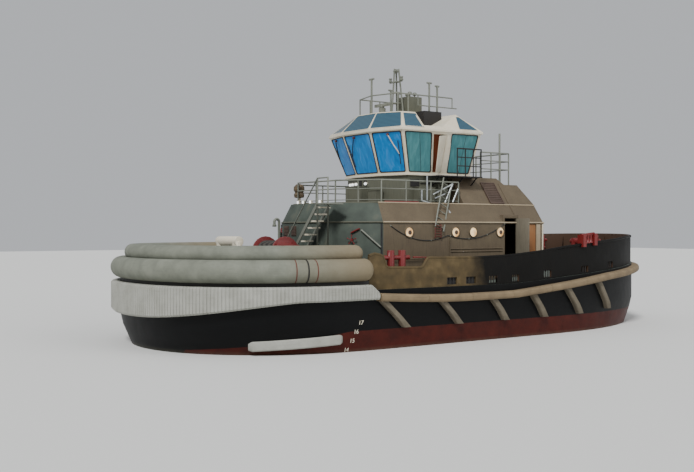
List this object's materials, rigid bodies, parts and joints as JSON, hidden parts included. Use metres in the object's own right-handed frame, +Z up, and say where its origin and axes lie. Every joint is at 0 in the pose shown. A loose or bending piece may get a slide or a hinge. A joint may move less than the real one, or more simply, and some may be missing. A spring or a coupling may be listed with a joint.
{
  "type": "harbour tugboat with two azimuthing stern drives",
  "caption": "Harbour tug with a fendered round bow, belt fenders, bulwarks, deckhouse, windowed wheelhouse, bow winch and turning stern drives.",
  "frame": {"origin": "on the centreline amidships, on the waterline", "axes": "+X to the fendered bow, +Y to port, +Z up"},
  "size_m": [24.9167, 11.5734, 15.1537],
  "materials": {
    "hull_black": "satin black paint",
    "bottom_red": "matt red bottom paint",
    "fender_grey": "matt grey rubber",
    "fender_pale": "matt pale grey ribbed rubber",
    "bulwark_steel": "tan primer and black paint",
    "house_primer": "matt tan and grey-green primer",
    "white_paint": "semi-gloss white paint",
    "window_film": "blue protective film on glass",
    "skylight_glass": "tinted glass",
    "fitting_red": "semi-gloss red paint",
    "grey_steel": "grey paint",
    "dark_steel": "matt dark paint",
    "aluminium": "bare aluminium",
    "bronze": "polished bronze",
    "brown_door": "brown primer"
  },
  "bodies": {
    "hull": {"hull_bottom": "bottom_red", "hull_topsides": "hull_black", "skeg": "bottom_red", "bow_ribbed_fender": "fender_pale", "bow_fender_bed": "bulwark_steel", "bow_bar_fender_port": "fender_grey", "bow_bar_fender_starboard": "fender_grey", "bow_cylinder_fender_lower": "fender_grey", "bow_cylinder_fender_upper": "fender_grey", "side_fender_port": "fender_grey", "side_fender_starboard": "fender_grey", "bulwark_port": "bulwark_steel", "bulwark_starboard": "bulwark_steel", "deckhouse": "house_primer", "engine_casing": "house_primer", "wheelhouse_trunk": "house_primer", "door_landing_port": "grey_steel", "door_landing_starboard": "grey_steel", "wheelhouse_floor": "white_paint", "wheelhouse_walls": "white_paint", "window_glass": "window_film", "wheelhouse_roof": "white_paint", "skylight_glass": "skylight_glass", "winch_frame": "fitting_red", "bow_staple": "white_paint", "double_bitts_port": "fitting_red", "double_bitts_starboard": "fitting_red", "stern_staple": "fitting_red", "stern_bitts_port": "fitting_red", "stern_bitts_starboard": "fitting_red", "stern_capstan_base": "grey_steel", "mast": "grey_steel", "radar_base": "white_paint", "roof_rail": "grey_steel", "roof_locker": "grey_steel", "roof_box_port": "dark_steel", "roof_box_starboard": "dark_steel", "upper_deck_rail": "grey_steel", "casing_rail": "grey_steel", "casing_pole": "grey_steel", "front_stair": "grey_steel", "side_ladder_port": "aluminium"},
    "wheelhouse_door_port": {"wheelhouse_door_port": "white_paint"},
    "wheelhouse_door_starboard": {"wheelhouse_door_starboard": "white_paint"},
    "deckhouse_door_port": {"deckhouse_door_port": "house_primer"},
    "deckhouse_door_starboard": {"deckhouse_door_starboard": "house_primer"},
    "deckhouse_aft_door_port": {"deckhouse_aft_door_port": "brown_door"},
    "stern_drive_port": {"stern_drive_port": "bottom_red"},
    "stern_drive_starboard": {"stern_drive_starboard": "bottom_red"},
    "propeller_port": {"propeller_port": "bronze"},
    "propeller_starboard": {"propeller_starboard": "bronze"},
    "winch_drum": {"winch_drum": "fitting_red"},
    "stern_capstan": {"stern_capstan": "fitting_red"},
    "radar_scanner": {"radar_scanner": "white_paint"}
  },
  "joints": [
    {"name": "drive_steer_port", "type": "hinge", "parent": "hull", "child": "stern_drive_port", "pos_m": [-8.8, 2.3, -1.56], "axis": [0, 0, 1], "continuous": true},
    {"name": "drive_steer_starboard", "type": "hinge", "parent": "hull", "child": "stern_drive_starboard", "pos_m": [-8.8, -2.3, -1.56], "axis": [0, 0, 1], "continuous": true},
    {"name": "propeller_spin_port", "type": "hinge", "parent": "stern_drive_port", "child": "propeller_port", "pos_m": [-9.5, 2.3, -2.9], "axis": [1, 0, 0], "continuous": true},
    {"name": "propeller_spin_starboard", "type": "hinge", "parent": "stern_drive_starboard", "child": "propeller_starboard", "pos_m": [-9.5, -2.3, -2.9], "axis": [1, 0, 0], "continuous": true},
    {"name": "winch_drum_spin", "type": "hinge", "parent": "hull", "child": "winch_drum", "pos_m": [6.4, 0, 3.3], "axis": [0, 1, 0], "continuous": true},
    {"name": "capstan_spin", "type": "hinge", "parent": "hull", "child": "stern_capstan", "pos_m": [-7, 1.1, 2.85], "axis": [0, 0, 1], "continuous": true},
    {"name": "radar_spin", "type": "hinge", "parent": "hull", "child": "radar_scanner", "pos_m": [1.2, 0, 9.26], "axis": [0, 0, 1], "continuous": true},
    {"name": "wheelhouse_door_port_swing", "type": "hinge", "parent": "hull", "child": "wheelhouse_door_port", "pos_m": [-0.122, 2.15653, 6.5003], "axis": [0, 0.2738, 0.9618], "range_deg": [-30, 70]},
    {"name": "wheelhouse_door_starboard_swing", "type": "hinge", "parent": "hull", "child": "wheelhouse_door_starboard", "pos_m": [-0.122, -2.15653, 6.5003], "axis": [0, 0.2738, -0.9618], "range_deg": [0, 100]},
    {"name": "deckhouse_door_port_swing", "type": "hinge", "parent": "hull", "child": "deckhouse_door_port", "pos_m": [-3.042, 3.585, 2.48], "axis": [0, 0, 1], "range_deg": [-95, 0]},
    {"name": "deckhouse_door_starboard_swing", "type": "hinge", "parent": "hull", "child": "deckhouse_door_starboard", "pos_m": [-3.042, -3.585, 2.48], "axis": [0, 0, -1], "range_deg": [0, 110]},
    {"name": "deckhouse_aft_door_port_swing", "type": "hinge", "parent": "hull", "child": "deckhouse_aft_door_port", "pos_m": [-4.142, 3.585, 2.56], "axis": [0, 0, 1], "range_deg": [0, 110]}
  ]
}
